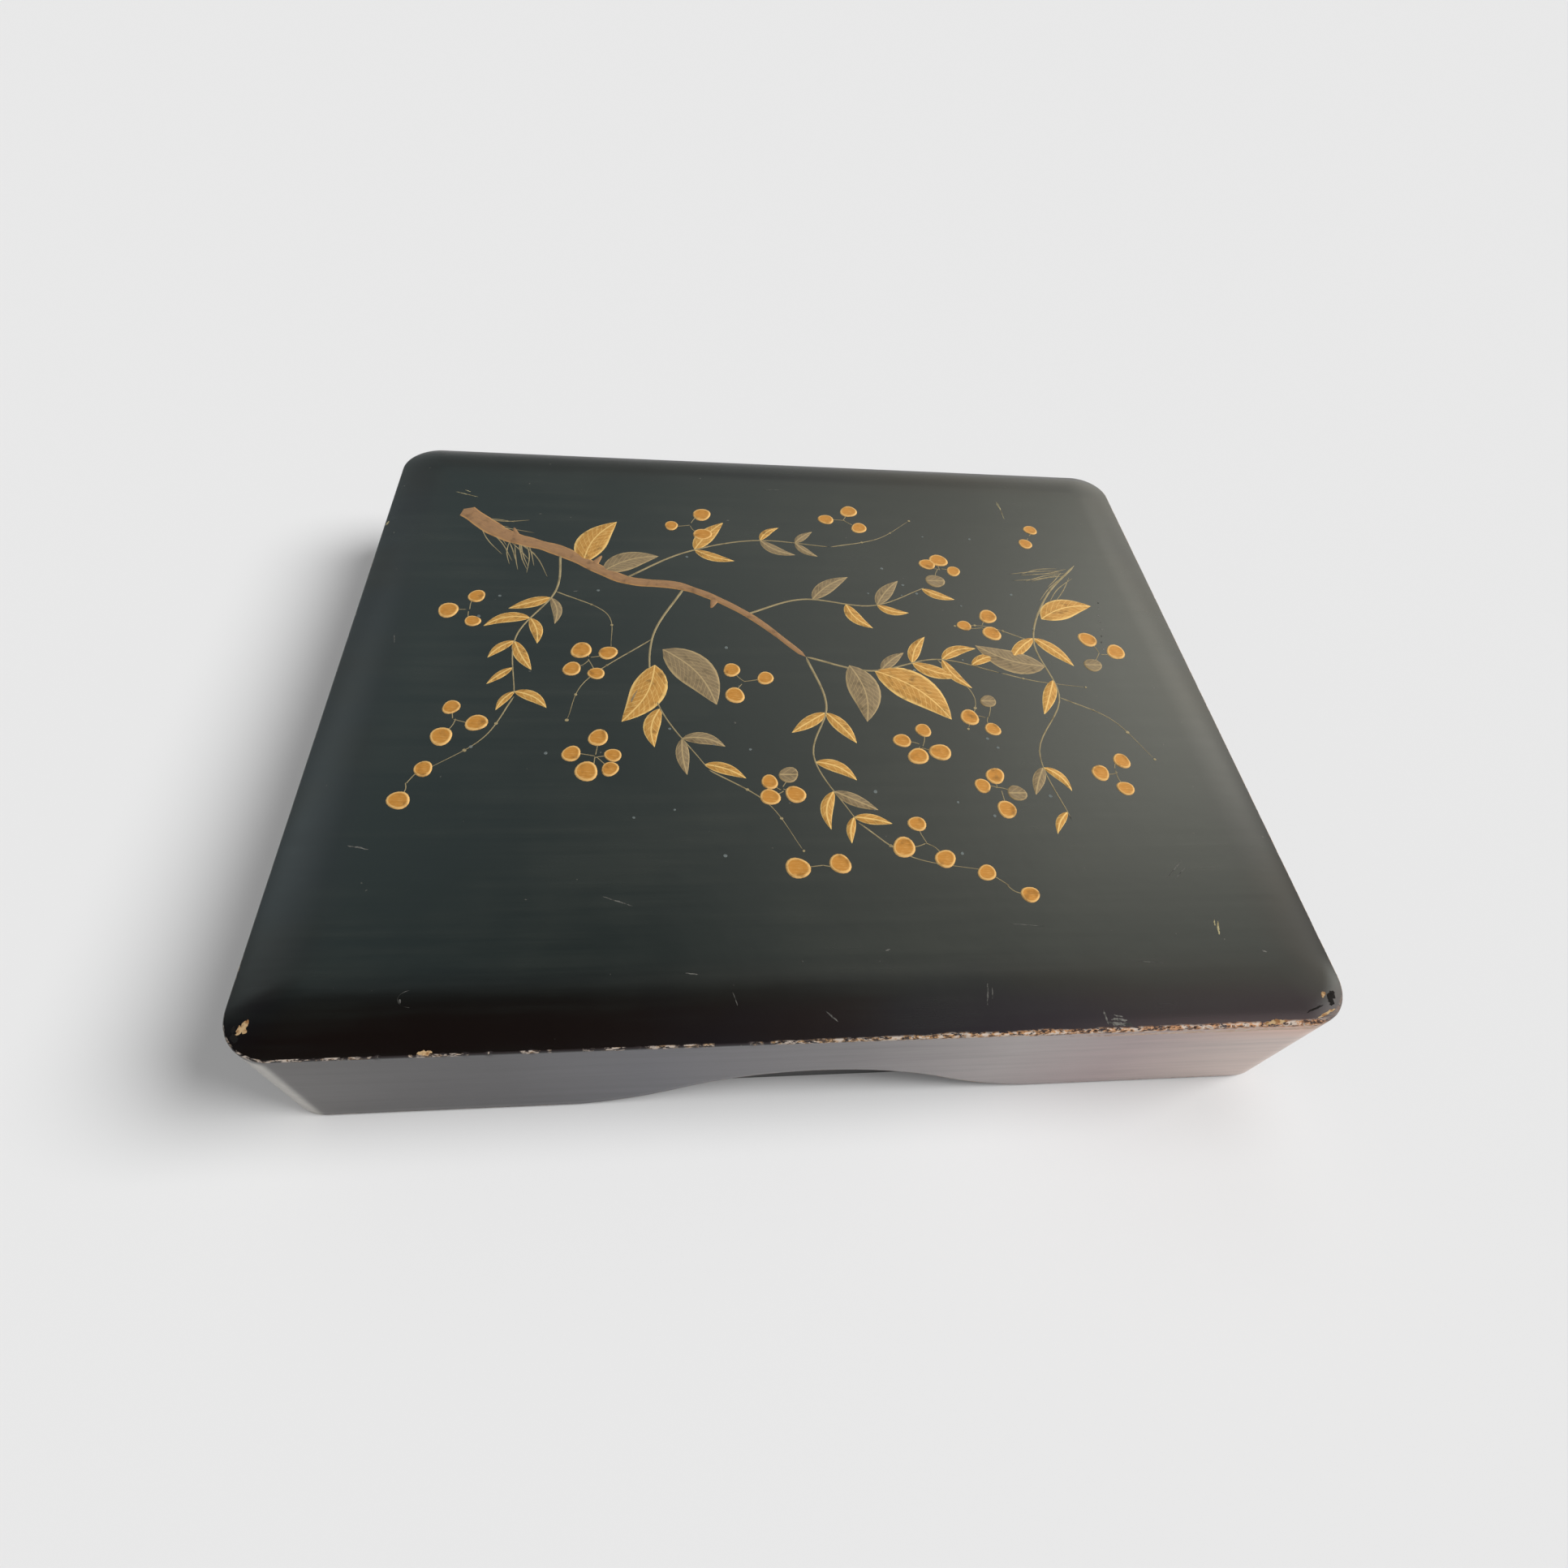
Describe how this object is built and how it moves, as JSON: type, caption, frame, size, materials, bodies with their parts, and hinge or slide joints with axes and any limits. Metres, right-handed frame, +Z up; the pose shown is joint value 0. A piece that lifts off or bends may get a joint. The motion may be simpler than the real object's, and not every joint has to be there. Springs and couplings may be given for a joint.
{
  "type": "writing box",
  "caption": "Lacquered wooden writing box with a deep lift-off lid and finger notches, holding an inkstone, water dropper, ink stick, brushes, knife and awl on a board and a tray.",
  "frame": {"origin": "middle of the underside of the bottom board, on the surface that the box stands on", "axes": "+Z up, +X along the box's long side, toward the end away from the inkstone's well, +Y from the front, where the inkstone is, to the back, where the tray is"},
  "size_m": [0.2424, 0.206, 0.04],
  "materials": {
    "lacquer": "wood under black lacquer, polished, with some wear",
    "plain_wood": "bare softwood",
    "slate": "fine matt slate",
    "copper": "brown patinated copper alloy",
    "ink": "dry pressed soot and glue, half matt",
    "bamboo": "smooth bamboo",
    "hair": "soft animal hair",
    "lacquer_red": "wood under dark red-brown lacquer",
    "gilt_metal": "satin",
    "steel": "ground"
  },
  "bodies": {
    "base": {"base_bottom_board": "lacquer", "base_front_side": "lacquer", "base_back_side": "lacquer", "base_left_side": "lacquer", "base_right_side": "lacquer", "base_front_left_block": "plain_wood", "base_front_right_block": "plain_wood", "base_back_left_block": "plain_wood", "base_back_right_block": "plain_wood", "base_corner_pegs": "plain_wood", "ink_board_batten_left": "lacquer", "ink_board_batten_right": "lacquer", "tray_cleat_left": "lacquer", "tray_cleat_right": "lacquer"},
    "lid": {"lid_top_board": "lacquer", "lid_front_side": "lacquer", "lid_back_side": "lacquer", "lid_left_side": "lacquer", "lid_right_side": "lacquer", "lid_front_left_block": "plain_wood", "lid_front_right_block": "plain_wood", "lid_back_left_block": "plain_wood", "lid_back_right_block": "plain_wood", "lid_corner_pegs": "plain_wood"},
    "ink_board": {"ink_board": "lacquer"},
    "inkstone": {"inkstone": "slate"},
    "dropper": {"dropper_base": "copper", "dropper_shell": "copper", "dropper_spout": "copper"},
    "ink_stick": {"ink_stick": "ink"},
    "tray": {"tray_floor": "lacquer", "tray_front_side": "lacquer", "tray_back_side": "lacquer", "tray_left_side": "lacquer", "tray_right_side": "lacquer", "brush_rest_left": "lacquer", "brush_rest_right": "lacquer"},
    "thick_brush": {"thick_brush_handle": "bamboo", "thick_brush_tuft": "hair"},
    "thick_cap": {"thick_brush_cap": "bamboo"},
    "fine_brush": {"fine_brush_handle": "bamboo", "fine_brush_tuft": "hair"},
    "fine_cap": {"fine_brush_cap": "bamboo"},
    "knife": {"knife_handle": "lacquer_red", "knife_collar": "gilt_metal", "knife_blade": "steel"},
    "sheath": {"knife_sheath": "lacquer_red"},
    "awl": {"awl_handle": "lacquer_red", "awl_ferrule": "gilt_metal", "awl_point": "steel"}
  },
  "joints": [
    {"name": "lid_lift", "type": "slide", "parent": "base", "child": "lid", "axis": [0, 0, 1], "range_m": [0, 0.16]},
    {"name": "ink_board_lift", "type": "slide", "parent": "base", "child": "ink_board", "axis": [0, 0, 1], "range_m": [0, 0.048]},
    {"name": "tray_lift", "type": "slide", "parent": "base", "child": "tray", "axis": [0, 0, 1], "range_m": [0, 0.056]},
    {"name": "inkstone_lift", "type": "slide", "parent": "base", "child": "inkstone", "axis": [0, 0, 1], "range_m": [0, 0.072]},
    {"name": "dropper_lift", "type": "slide", "parent": "ink_board", "child": "dropper", "axis": [0, 0, 1], "range_m": [0, 0.0192]},
    {"name": "ink_stick_lift", "type": "slide", "parent": "ink_board", "child": "ink_stick", "axis": [0, 0, 1], "range_m": [0, 0.0192]},
    {"name": "thick_brush_lift", "type": "slide", "parent": "tray", "child": "thick_brush", "axis": [0, 0, 1], "range_m": [0, 0.032]},
    {"name": "fine_brush_lift", "type": "slide", "parent": "tray", "child": "fine_brush", "axis": [0, 0, 1], "range_m": [0, 0.032]},
    {"name": "knife_lift", "type": "slide", "parent": "tray", "child": "knife", "axis": [0, 0, 1], "range_m": [0, 0.032]},
    {"name": "awl_lift", "type": "slide", "parent": "tray", "child": "awl", "axis": [0, 0, 1], "range_m": [0, 0.032]},
    {"name": "thick_cap_pull", "type": "slide", "parent": "thick_brush", "child": "thick_cap", "axis": [1, 0, 0], "range_m": [0, 0.04]},
    {"name": "fine_cap_pull", "type": "slide", "parent": "fine_brush", "child": "fine_cap", "axis": [1, 0, 0], "range_m": [0, 0.034]},
    {"name": "sheath_pull", "type": "slide", "parent": "knife", "child": "sheath", "axis": [1, 0, 0], "range_m": [0, 0.05]}
  ],
  "couplings": [
    {"joint": "ink_board_lift", "follows": "lid_lift", "ratio": 0.3},
    {"joint": "tray_lift", "follows": "lid_lift", "ratio": 0.35},
    {"joint": "inkstone_lift", "follows": "lid_lift", "ratio": 0.45},
    {"joint": "dropper_lift", "follows": "lid_lift", "ratio": 0.12},
    {"joint": "ink_stick_lift", "follows": "lid_lift", "ratio": 0.12},
    {"joint": "thick_brush_lift", "follows": "lid_lift", "ratio": 0.2},
    {"joint": "fine_brush_lift", "follows": "lid_lift", "ratio": 0.2},
    {"joint": "knife_lift", "follows": "lid_lift", "ratio": 0.2},
    {"joint": "awl_lift", "follows": "lid_lift", "ratio": 0.2}
  ]
}
